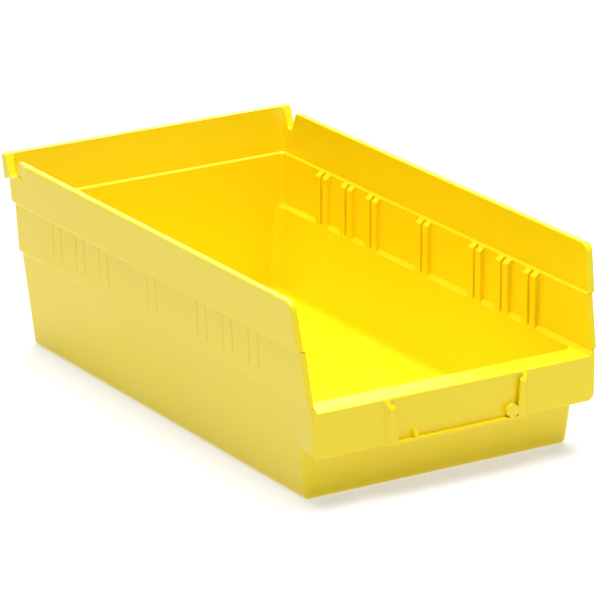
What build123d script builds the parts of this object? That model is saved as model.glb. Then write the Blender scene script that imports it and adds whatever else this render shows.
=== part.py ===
from build123d import *
import os

# One-piece moulded shelf bin, open at the top and over the front lip.
# It is written out as the regions that the moulding is made of, which meet face to face.
# Frame: millimetres, +Z up, +Y to the back, +X to the right, origin under the middle of the base.
# Inside this script y = 0 is the front face of the lip; save() moves each piece into the frame.

# ---- overall size ----------------------------------------------------------------------
overall_length = 295.3          # label holder front to hang lip back
overall_width = 168.3           # across the side rims
overall_height = 101.6          # base to the top of the hang lip
holder_depth = 2.5              # how far the label holder stands off the lip face
wall = 2.6                      # floor and lip thickness
body_length = overall_length - holder_depth
rim_half = overall_width / 2
hang_lip_edge = 1.1             # the hang lip ends this much above the rim, in an upright edge
rim_height = overall_height - hang_lip_edge

# ---- heights ---------------------------------------------------------------------------
lip_bottom = 25.6
lip_top = 48.4
lower_step = 50.7               # where the tub ends and the middle band begins
upper_step = 76.9               # where the middle band ends and the upper band begins
lower_ledge_rise = 2.1          # sloping ledge inside, above the lip top
upper_ledge_rise = 1.0          # sloping ledge inside, above the upper step

# ---- half widths, outside and inside ----------------------------------------------------
base_half = 73.2
tub_top_half = 78.8
middle_bottom_half = 80.0
middle_top_half = 81.3
upper_bottom_half = 82.5
floor_inner_half = 70.4
tub_inner_half = 75.2
middle_bottom_inner_half = 77.1
middle_top_inner_half = 78.0
upper_bottom_inner_half = 79.1
upper_top_inner_half = 80.3
lip_bottom_half = 78.7
lip_top_half = 78.9
channel_front_half = 76.0       # hollow under the lip
channel_back_half = 73.4

# ---- front and back faces ---------------------------------------------------------------
tub_front_base = 15.3
tub_front_top = 10.9
lip_depth = 17.0                # where the lip ends have run into the side walls
back_base = 285.8
back_tub_top = 287.2
back_middle_bottom = 288.4
back_middle_top = 288.8
back_upper_bottom = 290.1
back_upper_top = 290.7
back_inner_floor = 283.2
back_inner_middle_top = 286.3
back_inner_upper_bottom = 287.5
back_inner_upper_top = 289.2
front_edge_lean = 11.0          # how far a side wall's front edge leans back, lip to rim
open_front = -30.0              # in front of the bin, for faces that are trimmed to the front edge
above = overall_height + 10     # above the bin, for cutters
clear = 2.0                     # how far a cutter runs past the surface it cuts

# ---- edge and corner radii --------------------------------------------------------------
back_corner_radius = 5.0
front_corner_radius = 3.0
inner_corner_radius = 2.5
tub_corner_radius = 5.0         # inside the tub
base_edge_radius = 2.9
floor_edge_radius = 4.8
rim_edge_radius = 0.8
rim_front_radius = 5.0
lip_corner_radius = 4.0
short_edge = 2.0                # shorter upright edges at the lip are left sharp

# ---- notch between side wall and hang lip ------------------------------------------------
notch_tip = 277.4
notch_floor = 90.8
notch_front_low = 280.8
notch_back_low = 284.2
notch_top_back = 289.0
notch_radius = 1.6
tip_radius = 2.4
hang_lip_start = 88.6
tip_recess_start = 267.5
tip_recess_floor = 92.4
tip_recess_depth = 1.7

# ---- divider guides -----------------------------------------------------------------------
guide_middle = 148.0
guide_spacing = 24.0
guide_places = (-4, -3, -2, 0, 2, 3, 4)
rib_width = 4.3
rib_gap = 2.1
rib_pitch = rib_width + rib_gap
rib_top_slope = 2.2             # height lost by the sloped top of a rib
rib_face_top_half = 75.4        # from the tub's inner face, straight up with its draft
sink_middle = 145.0
sink_pitch = 8.4
sink_width = 0.8
sink_depth = 0.12
sink_bottom = 58.0
sink_top = 76.0

# ---- label holder ---------------------------------------------------------------------------
holder_half = 40.0              # outer foot of the rails
rail_inner_half = 36.8
rail_splay = 2.4                # the rail's outer face slants in by this much
rail_top = 47.8
flange_top_half = 35.2
flange_bottom_half = 33.2
card_slot = 1.2                 # room behind the flanges
rail_top_drop = 4.2
shelf_thickness = 1.5
gusset_x = -23.4
gusset_width = 2.2
gusset_height = 4.6
stop_x = 30.4
stop_z = 30.2
stop_radius = 3.3

# ---- where the moulding is divided into pieces -------------------------------------------------
corner_x = 65.0
front_corner_y = 23.0
back_corner_y = 272.0
upper_corner_x = 74.0


def at_height(z, low, high):
    """Value at height z on the straight line through two (z, value) points."""
    return low[1] + (high[1] - low[1]) * (z - low[0]) / (high[0] - low[0])


def section(z, half, front, back, front_radius, back_radius):
    """Level outline of the bin, with its own radius for the two front and two back corners."""
    outline = Rectangle(2 * half, back - front)
    back_corners = outline.vertices().group_by(Axis.Y)[-1]
    outline = fillet(back_corners, back_radius)
    front_corners = outline.vertices().group_by(Axis.Y)[0]
    outline = fillet(front_corners, front_radius)
    return Pos(0, (front + back) / 2, z) * outline


def tier(low, high, front_radius=front_corner_radius, back_radius=back_corner_radius):
    """Tapered block between two levels, each (z, half width, front, back)."""
    return loft([section(*low, front_radius, back_radius), section(*high, front_radius, back_radius)],
                ruled=True)


def inner_tier(low, high, radius=inner_corner_radius):
    return tier(low, high, radius, radius)


def block(x0, x1, y0, y1, z0, z1):
    return Pos(x0, y0, z0) * Box(x1 - x0, y1 - y0, z1 - z0, align=(Align.MIN, Align.MIN, Align.MIN))


def side_prism(points, x0, x1):
    """Outline in (y, z), extruded from x0 to x1."""
    face = make_face(Plane.YZ * Polyline(*points, close=True))
    return Pos(x0, 0, 0) * extrude(face, x1 - x0, dir=(1, 0, 0))


def front_prism(points, y0, y1):
    """Outline in (x, z), extruded from y0 to y1."""
    face = make_face(Plane.XZ * Polyline(*points, close=True))
    return Pos(0, y0, 0) * extrude(face, y1 - y0, dir=(0, 1, 0))


def level_prism(points, z0, z1):
    """Outline in (x, y), extruded from z0 to z1."""
    face = make_face(Polyline(*points, close=True))
    return Pos(0, 0, z0) * extrude(face, z1 - z0, dir=(0, 0, 1))


def mirrored(shape):
    return mirror(shape, Plane.YZ)


def edges_at_height(shape, z):
    return shape.edges().filter_by_position(Axis.Z, z, z)


def back_outer(z):
    if z <= lower_step:
        return at_height(z, (0, back_base), (lower_step, back_tub_top))
    if z <= upper_step:
        return at_height(z, (lower_step, back_middle_bottom), (upper_step, back_middle_top))
    return at_height(z, (upper_step, back_upper_bottom), (rim_height, back_upper_top))


def back_inner(z):
    if z <= upper_step:
        return at_height(z, (wall, back_inner_floor), (upper_step, back_inner_middle_top))
    ledge = (upper_step + upper_ledge_rise, back_inner_upper_bottom)
    return at_height(z, ledge, (overall_height, back_inner_upper_top))


def front_edge_y(z):
    return at_height(z, (lip_top, 0), (rim_height, front_edge_lean))


def front_trim():
    """Everything in front of the side walls' sloping front edges."""
    points = [(open_front - 5, lip_top), (0, lip_top), (front_edge_lean, rim_height),
              (front_edge_y(above), above), (open_front - 5, above)]
    return side_prism(points, -rim_half - 5, rim_half + 5)


def make_cavity():
    """The space inside the bin, from the floor to above the rim."""
    tub_front = at_height(lip_top, (0, tub_front_base), (lower_step, tub_front_top)) + wall
    ledge_top = lip_top + lower_ledge_rise
    upper_ledge_top = upper_step + upper_ledge_rise
    tub = inner_tier((wall, floor_inner_half, tub_front_base + wall, back_inner(wall)),
                     (lip_top, tub_inner_half, tub_front, back_inner(lip_top)), tub_corner_radius)
    tub = fillet(edges_at_height(tub, wall), floor_edge_radius)
    lower_ledge = inner_tier((lip_top, tub_inner_half, open_front, back_inner(lip_top)),
                             (ledge_top, middle_bottom_inner_half, open_front, back_inner(ledge_top)))
    middle = inner_tier((ledge_top, middle_bottom_inner_half, open_front, back_inner(ledge_top)),
                        (upper_step, middle_top_inner_half, open_front, back_inner(upper_step)))
    upper_ledge = inner_tier((upper_step, middle_top_inner_half, open_front, back_inner(upper_step)),
                             (upper_ledge_top, upper_bottom_inner_half, open_front,
                              back_inner_upper_bottom))
    top_half = at_height(above, (upper_ledge_top, upper_bottom_inner_half),
                         (rim_height, upper_top_inner_half))
    upper = inner_tier((upper_ledge_top, upper_bottom_inner_half, open_front, back_inner_upper_bottom),
                       (above, top_half, open_front, back_inner(above)))
    return tub + lower_ledge + middle + upper_ledge + upper


def make_tub():
    tub = tier((0, base_half, tub_front_base, back_base),
               (lower_step, tub_top_half, tub_front_top, back_outer(lower_step)))
    return fillet(edges_at_height(tub, 0), base_edge_radius)


def underside_edges(band, bottom):
    """Outside edges of a band's underside, without the one across the open front."""
    return edges_at_height(band, bottom).sort_by(Axis.Y)[1:]


def front_edges(band):
    """Long upright edges at the front of a band, outside and inside."""
    chosen = []
    for edge in band.edges():
        box = edge.bounding_box()
        if box.max.Y < front_corner_y and box.max.Z - box.min.Z > lower_ledge_rise:
            chosen.append(edge)
    return chosen


def make_middle_band(cavity):
    band = tier((lower_step, middle_bottom_half, open_front, back_middle_bottom),
                (upper_step, middle_top_half, open_front, back_middle_top)) - front_trim()
    band = fillet(underside_edges(band, lower_step), middle_bottom_half - tub_top_half)
    band = band - cavity
    return fillet(front_edges(band), rim_edge_radius)


def hang_lip_block():
    """Wedge across the back that the bin hangs by, before the inside is cut away."""
    points = [(notch_back_low, notch_floor), (back_outer(hang_lip_start), hang_lip_start),
              (body_length, rim_height), (body_length, overall_height),
              (notch_back_low, overall_height)]
    return side_prism(points, -rim_half, rim_half)


def notch_cutter():
    """V between a side wall and the hang lip, through the right-hand side wall."""
    slope = (notch_tip - notch_front_low) / (rim_height - notch_floor)
    front_top = notch_front_low + slope * (above - notch_floor)
    outline = make_face(Plane.YZ * Polyline((notch_front_low, notch_floor), (notch_back_low, notch_floor),
                                            (notch_top_back, overall_height), (notch_top_back, above),
                                            (front_top, above), close=True))
    outline = fillet(outline.vertices().group_by(Axis.Z)[0], notch_radius)
    return Pos(upper_corner_x, 0, 0) * extrude(outline, rim_half - upper_corner_x + 5)


def tip_recess_cutter():
    """Shallow recess outside the right-hand side wall's back tip, deepest at the tip."""
    slope = tip_recess_depth / (notch_tip - tip_recess_start)
    outline = [(rim_half + clear, tip_recess_start - clear / slope),
               (rim_half - tip_recess_depth, notch_tip),
               (rim_half - tip_recess_depth, notch_front_low), (rim_half + clear, notch_front_low)]
    return level_prism(outline, tip_recess_floor, above)


def rim_edges(band):
    """Long edges along the side rims and down the front, outside and inside."""
    chosen = []
    for edge in band.edges():
        box = edge.bounding_box()
        along_rim = abs(edge.center().Z - rim_height) < 0.01 and box.size.Y > guide_middle
        down_front = box.max.Y < front_corner_y and box.size.Z > wall > box.size.X
        if along_rim or down_front:
            chosen.append(edge)
    return chosen


def make_upper_band(cavity):
    band = tier((upper_step, upper_bottom_half, open_front, back_upper_bottom),
                (rim_height, rim_half, open_front, back_upper_top)) - front_trim()
    band = fillet(edges_at_height(band, rim_height).sort_by(Axis.Y)[0], rim_front_radius)
    band = fillet(underside_edges(band, upper_step), upper_bottom_half - middle_top_half)
    band = band + hang_lip_block() - cavity
    for cutter in (notch_cutter(), tip_recess_cutter()):
        band = band - cutter - mirrored(cutter)
    tips = [edge for edge in edges_at_height(band, rim_height)
            if abs(edge.center().Y - notch_tip) < 0.01]
    band = fillet(tips, tip_radius)
    return fillet(rim_edges(band), rim_edge_radius)


def make_lip(tub, cavity):
    """Front lip: a channel, open underneath, that stands forward of the tub."""
    low_outline = make_face(Polyline(*lip_outline(lip_bottom_half, tub_half(lip_bottom)), close=True))
    high_outline = make_face(Polyline(*lip_outline(lip_top_half, tub_top_half), close=True))
    lip = loft([Pos(0, 0, lip_bottom) * low_outline, Pos(0, 0, lower_step) * high_outline], ruled=True)
    side_bottoms = [edge for edge in edges_at_height(lip, lip_bottom) if abs(edge.center().X) > corner_x]
    lip = fillet(side_bottoms, lip_corner_radius)
    lip = lip - front_trim() - cavity
    lip = fillet(lip_front_edges(lip), rim_edge_radius)
    hollow = level_prism([(-channel_front_half, wall), (channel_front_half, wall),
                          (channel_back_half, lip_depth), (-channel_back_half, lip_depth)],
                         lip_bottom - clear, lip_top - wall)
    return lip - tub - hollow


def lip_front_edges(lip):
    """Outline of the lip's front face, and the edges that lead up to the middle band."""
    chosen = []
    for edge in lip.edges():
        box = edge.bounding_box()
        long_enough = box.size.X > corner_x or box.size.Z > short_edge
        if box.max.Y < front_edge_y(lower_step) + 0.01 and long_enough:
            chosen.append(edge)
    return chosen


def lip_outline(front_half, back_half):
    return ((-front_half, 0), (front_half, 0), (back_half, lip_depth), (-back_half, lip_depth))


def tub_half(z):
    return at_height(z, (0, base_half), (lower_step, tub_top_half))


def make_rib(cavity):
    """One rib of a divider guide, on the right-hand wall with its middle at y = 0."""
    outline = [(tub_inner_half, lip_top), (rim_half, lip_top), (rim_half, upper_step),
               (middle_top_inner_half, upper_step), (rib_face_top_half, upper_step - rib_top_slope)]
    rib = front_prism(outline, guide_middle - rib_width / 2, guide_middle + rib_width / 2) & cavity
    return Pos(0, -guide_middle, 0) * rib


def rib_places():
    """Middles of all the ribs on one side, with the name of each."""
    places = []
    for number, step in enumerate(guide_places, 1):
        middle = guide_middle + step * guide_spacing
        places.append((f"guide_{number}_front_rib", middle - rib_pitch / 2))
        places.append((f"guide_{number}_rear_rib", middle + rib_pitch / 2))
    return places


def sink_lines():
    """Shallow upright lines outside the right-hand wall, a pair behind each divider guide."""
    outline = [(middle_outer_half(z) - sink_depth, z) for z in (sink_bottom, sink_top)]
    outline += [(rim_half, sink_top), (rim_half, sink_bottom)]
    lines = []
    for step in guide_places:
        for offset in (-sink_pitch / 2, sink_pitch / 2):
            y = sink_middle + step * guide_spacing + offset
            lines.append(front_prism(outline, y - sink_width / 2, y + sink_width / 2))
    return lines


def middle_outer_half(z):
    return at_height(z, (lower_step, middle_bottom_half), (upper_step, middle_top_half))


def make_label_holder(lip):
    """Pieces of the card holder on the lip face; the right-hand ones are mirrored to the left."""
    reach = rim_edge_radius     # behind the lip face, to fill in behind its rounded bottom edge
    profile = side_prism([(reach, lip_bottom), (reach, rail_top), (0, rail_top),
                          (-holder_depth, rail_top - rail_top_drop), (-holder_depth, lip_bottom)],
                         -holder_half, holder_half)
    rail = level_prism([(rail_inner_half, reach), (rail_inner_half, -holder_depth),
                        (holder_half - rail_splay, -holder_depth), (holder_half, 0),
                        (holder_half, reach)], lip_bottom, lip_top) & profile
    flange = front_prism([(rail_inner_half, lip_bottom), (flange_bottom_half, lip_bottom),
                          (flange_top_half, rail_top), (rail_inner_half, rail_top)],
                         -holder_depth, -card_slot) & profile
    shelf_top = lip_bottom + shelf_thickness
    shelf = block(-rail_inner_half, rail_inner_half, -holder_depth, reach, lip_bottom, shelf_top)
    gusset = side_prism([(0, shelf_top), (0, shelf_top + gusset_height),
                         (-holder_depth, shelf_top + shelf_thickness), (-holder_depth, shelf_top)],
                        gusset_x - gusset_width / 2, gusset_x + gusset_width / 2)
    boss = Pos(stop_x, 0, stop_z) * Rot(90, 0, 0) * Cylinder(
        stop_radius, holder_depth, align=(Align.CENTER, Align.CENTER, Align.MIN))
    flange = flange - shelf
    return {
        "label_left_rail": mirrored(rail) - lip,
        "label_right_rail": rail - lip,
        "label_left_flange": mirrored(flange),
        "label_right_flange": flange,
        "label_shelf": shelf - lip,
        "label_gusset": gusset,
        "label_stop_boss": boss - shelf - flange,
    }


def make_shells():
    """The moulding in five regions: tub, middle band, upper band, hang lip and front lip."""
    cavity = make_cavity()
    tub = make_tub()
    lip = make_lip(tub, cavity)
    middle = make_middle_band(cavity)
    for line in sink_lines():
        middle = middle - line - mirrored(line)
    upper = make_upper_band(cavity)
    hang_lip = upper & hang_lip_zone()
    return cavity, tub - cavity, middle, upper - hang_lip_zone(), hang_lip, lip


def hang_lip_zone():
    """Everything behind the upper band's outer face."""
    face_top = at_height(above, (upper_step, back_upper_bottom), (rim_height, back_upper_top))
    points = [(back_outer(hang_lip_start), hang_lip_start), (body_length + clear, hang_lip_start),
              (body_length + clear, above), (face_top, above)]
    return side_prism(points, -rim_half - clear, rim_half + clear)


def slab(x0, x1, y0, y1, z0, z1):
    """Block for cutting a region out of the moulding; None leaves that side open."""
    reach = 2 * body_length
    lows = [-reach if value is None else value for value in (x0, y0, z0)]
    highs = [reach if value is None else value for value in (x1, y1, z1)]
    return block(lows[0], highs[0], lows[1], highs[1], lows[2], highs[2])


def split_tub(tub, middle):
    rear = tub + middle
    pieces = {
        "floor_panel": tub & slab(None, None, None, None, None, wall),
        "front_wall": tub & slab(-corner_x, corner_x, None, front_corner_y, wall, None),
        "rear_wall": rear & slab(-corner_x, corner_x, back_corner_y, None, wall, None),
    }
    for side, x0, x1 in (("left", None, -corner_x), ("right", corner_x, None)):
        pieces[f"front_{side}_corner"] = tub & slab(x0, x1, None, front_corner_y, wall, None)
        pieces[f"{side}_lower_wall"] = tub & slab(x0, x1, front_corner_y, back_corner_y, wall, None)
        pieces[f"{side}_middle_band"] = middle & slab(x0, x1, None, back_corner_y, None, None)
        pieces[f"rear_{side}_corner"] = rear & slab(x0, x1, back_corner_y, None, wall, None)
    return pieces


def split_upper(upper, hang_lip):
    pieces = {
        "rear_rim_wall": upper & slab(-upper_corner_x, upper_corner_x, back_corner_y, None, None, None),
        "rear_hang_lip": hang_lip,
    }
    for side, x0, x1 in (("left", None, -upper_corner_x), ("right", upper_corner_x, None)):
        pieces[f"{side}_upper_band"] = upper & slab(x0, x1, None, back_corner_y, None, None)
        pieces[f"rear_{side}_rim_corner"] = upper & slab(x0, x1, back_corner_y, None, None, None)
    return pieces


def split_lip(lip):
    return {
        "lip_front_face": lip & slab(-channel_back_half, channel_back_half, None, wall, None, None),
        "lip_top_shelf": lip & slab(-channel_back_half, channel_back_half, wall, None, None, None),
        "lip_left_end": lip & slab(None, -channel_back_half, None, None, None, None),
        "lip_right_end": lip & slab(channel_back_half, None, None, None, None, None),
    }


def place_ribs(cavity):
    rib = make_rib(cavity)
    pieces = {}
    for name, y in rib_places():
        pieces[f"right_{name}"] = Pos(0, y, 0) * rib
        pieces[f"left_{name}"] = mirrored(Pos(0, y, 0) * rib)
    return pieces


def save(pieces):
    os.makedirs("parts", exist_ok=True)
    to_frame = Pos(0, holder_depth - overall_length / 2, 0)
    for name, piece in pieces.items():
        solid = (to_frame * piece).solids()
        if len(solid) != 1:
            print(f"{name} has {len(solid)} solids")
        export_step(solid[0], f"parts/{name}.step")


cavity, tub, middle, upper, hang_lip, lip = make_shells()
save({**split_tub(tub, middle), **split_upper(upper, hang_lip), **split_lip(lip),
      **make_label_holder(lip), **place_ribs(cavity)})
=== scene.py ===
"""Yellow moulded shelf bin on a pale floor in a soft studio.

The CAD nodes are the finished shape; this script gives them their plastic, and adds the floor,
the lights and the camera. Lengths are in metres, in the frame of the CAD.
"""
import math

import bpy
from mathutils import Euler, Matrix, Vector

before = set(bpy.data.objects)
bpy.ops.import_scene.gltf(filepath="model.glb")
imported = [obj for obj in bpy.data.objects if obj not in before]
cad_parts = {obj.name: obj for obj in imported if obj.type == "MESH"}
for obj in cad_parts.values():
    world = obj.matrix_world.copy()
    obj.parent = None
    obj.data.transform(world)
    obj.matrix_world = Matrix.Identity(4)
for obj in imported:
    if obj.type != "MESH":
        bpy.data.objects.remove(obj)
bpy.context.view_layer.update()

WHITE = (1, 1, 1, 1)

# plastic: faint clouding runs between the two colours, and its gloss varies a little
PLASTIC_DEEP = (0.93, 0.725, 0.003)
PLASTIC_PALE = (0.96, 0.755, 0.005)
PLASTIC_ROUGHNESS = (0.30, 0.38)
PLASTIC_IOR = 1.49

# noise in the plastic, from the widest to the finest, in cells per metre
CLOUDING_SCALE = 9.0
WAVE_SCALE = 22.0
GLOSS_SCALE = 35.0
GRAIN_SCALE = 2600.0

# bumps: the height of each, and how strongly it shows
WAVE_HEIGHT = 0.001
WAVE_STRENGTH = 0.05
GRAIN_HEIGHT = 0.0001
GRAIN_STRENGTH = 0.06

# most of a noise texture's values lie between these two
NOISE_LOW = 0.3
NOISE_HIGH = 0.7

# floor: its greys vary a little, as the plastic's colour does
FLOOR_SIZE = 14.0
FLOOR_NOISE_SCALE = 3.0
FLOOR_DIM = (0.47, 0.47, 0.47)
FLOOR_BRIGHT = (0.49, 0.49, 0.49)
FLOOR_ROUGHNESS = 0.9
FLOOR_SPECULAR = 0.1
FLOOR_GLOW = 0.5

WORLD_STRENGTH = 0.15

# camera: the point it is aimed at, its distance from there and the way it faces
CAMERA_AIM = Vector((-0.0357, -0.0635, 0.0735))
CAMERA_DISTANCE = 2.2
CAMERA_TURN = math.radians(-31.07)
CAMERA_TILT = math.radians(-18.36)
CAMERA_ROLL = math.radians(-0.48)
CAMERA_LENS_MM = 277.3
CAMERA_SENSOR_MM = 36.0
CAMERA_CLIP_END = 50.0

scene = bpy.context.scene
scene.view_settings.view_transform = "Standard"


def fill(node, **values):
    """Sets inputs of a shader node; an underscore stands for the space in an input's name."""
    for socket, value in values.items():
        node.inputs[socket.replace("_", " ")].default_value = value


class Nodes:
    """Shorthand for building one material's node tree."""

    def __init__(self, name):
        self.material = bpy.data.materials.new(name)
        self.material.use_nodes = True
        self.tree = self.material.node_tree
        self.shader = self.tree.nodes["Principled BSDF"]

    def add(self, kind, **values):
        node = self.tree.nodes.new(kind)
        fill(node, **values)
        return node

    def link(self, source, target):
        self.tree.links.new(source, target)

    def noise(self, scale, detail=2.0):
        """Noise that runs on across neighbouring pieces, as they all share the frame's axes."""
        place = self.add("ShaderNodeTexCoord")
        noise = self.add("ShaderNodeTexNoise", Scale=scale, Detail=detail)
        self.link(place.outputs["Object"], noise.inputs["Vector"])
        return noise.outputs["Fac"]

    def spread(self, value, low, high):
        """Maps a noise value to the range from low to high."""
        node = self.add("ShaderNodeMapRange", From_Min=NOISE_LOW, From_Max=NOISE_HIGH,
                        To_Min=low, To_Max=high)
        self.link(value, node.inputs["Value"])
        return node.outputs["Result"]

    def blend(self, value, first, second):
        """Colour between first and second, by a value from 0 to 1."""
        node = self.tree.nodes.new("ShaderNodeMix")
        node.data_type = "RGBA"
        node.inputs["A"].default_value = (*first, 1)
        node.inputs["B"].default_value = (*second, 1)
        self.link(value, node.inputs["Factor"])
        return node.outputs["Result"]


def yellow_plastic():
    """Moulded polypropylene: a fine satin grain, faint flow clouding and slightly uneven gloss."""
    nodes = Nodes("yellow_plastic")
    fill(nodes.shader, IOR=PLASTIC_IOR)
    clouding = nodes.spread(nodes.noise(CLOUDING_SCALE, detail=4.0), 0.0, 1.0)
    colour = nodes.blend(clouding, PLASTIC_DEEP, PLASTIC_PALE)
    nodes.link(colour, nodes.shader.inputs["Base Color"])
    gloss = nodes.spread(nodes.noise(GLOSS_SCALE, detail=5.0), *PLASTIC_ROUGHNESS)
    nodes.link(gloss, nodes.shader.inputs["Roughness"])

    wave = nodes.add("ShaderNodeBump", Strength=WAVE_STRENGTH, Distance=WAVE_HEIGHT)
    nodes.link(nodes.noise(WAVE_SCALE, detail=1.0), wave.inputs["Height"])
    grain = nodes.add("ShaderNodeBump", Strength=GRAIN_STRENGTH, Distance=GRAIN_HEIGHT)
    nodes.link(nodes.noise(GRAIN_SCALE), grain.inputs["Height"])
    nodes.link(wave.outputs["Normal"], grain.inputs["Normal"])
    nodes.link(grain.outputs["Normal"], nodes.shader.inputs["Normal"])
    return nodes.material


def pale_floor():
    """White light table: it glows a little, so that the shadow at the foot of the bin stays faint."""
    nodes = Nodes("pale_floor")
    fill(nodes.shader, Roughness=FLOOR_ROUGHNESS, Specular_IOR_Level=FLOOR_SPECULAR,
         Emission_Color=WHITE, Emission_Strength=FLOOR_GLOW)
    tone = nodes.spread(nodes.noise(FLOOR_NOISE_SCALE), 0.0, 1.0)
    nodes.link(nodes.blend(tone, FLOOR_DIM, FLOOR_BRIGHT), nodes.shader.inputs["Base Color"])
    return nodes.material


def finish_plastic(material):
    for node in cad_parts.values():
        node.data.materials.clear()
        node.data.materials.append(material)


def make_floor():
    bpy.ops.mesh.primitive_plane_add(size=FLOOR_SIZE, location=(0, 0, 0))
    floor = bpy.context.object
    floor.name = "floor"
    floor.data.materials.append(pale_floor())


def soft_light(name, place, aim, size, power):
    """Rectangular light; its size is in metres and its power in watts."""
    lamp = bpy.data.lights.new(name, "AREA")
    lamp.shape = "RECTANGLE"
    lamp.size, lamp.size_y = size
    lamp.energy = power
    light = bpy.data.objects.new(name, lamp)
    light.location = place
    light.rotation_euler = (Vector(aim) - Vector(place)).to_track_quat("-Z", "Y").to_euler()
    scene.collection.objects.link(light)


def make_studio():
    world = bpy.data.worlds.new("studio")
    world.use_nodes = True
    fill(world.node_tree.nodes["Background"], Color=WHITE, Strength=WORLD_STRENGTH)
    scene.world = world
    soft_light("overhead", place=(0.1, 0.1, 2.4), aim=(0, 0, 0), size=(1.4, 2.4), power=114)
    soft_light("front_fill", place=(0.9, -2.6, 1.0), aim=(0, 0, 0.05), size=(1.6, 1.2), power=5)
    soft_light("rim_panel", place=(1.1, 2.3, 0.9), aim=(0, 0, 0.08), size=(2.0, 1.0), power=13)


def make_camera():
    data = bpy.data.cameras.new("camera")
    data.lens = CAMERA_LENS_MM
    data.sensor_width = CAMERA_SENSOR_MM
    data.clip_end = CAMERA_CLIP_END
    camera = bpy.data.objects.new("camera", data)
    turn = Euler((math.pi / 2 + CAMERA_TILT, 0, CAMERA_TURN)).to_matrix()
    turn = turn @ Matrix.Rotation(CAMERA_ROLL, 3, "Z")
    forward = turn @ Vector((0, 0, -1))
    camera.matrix_world = Matrix.Translation(CAMERA_AIM - CAMERA_DISTANCE * forward) @ turn.to_4x4()
    scene.collection.objects.link(camera)
    scene.camera = camera


finish_plastic(yellow_plastic())
make_floor()
make_studio()
make_camera()
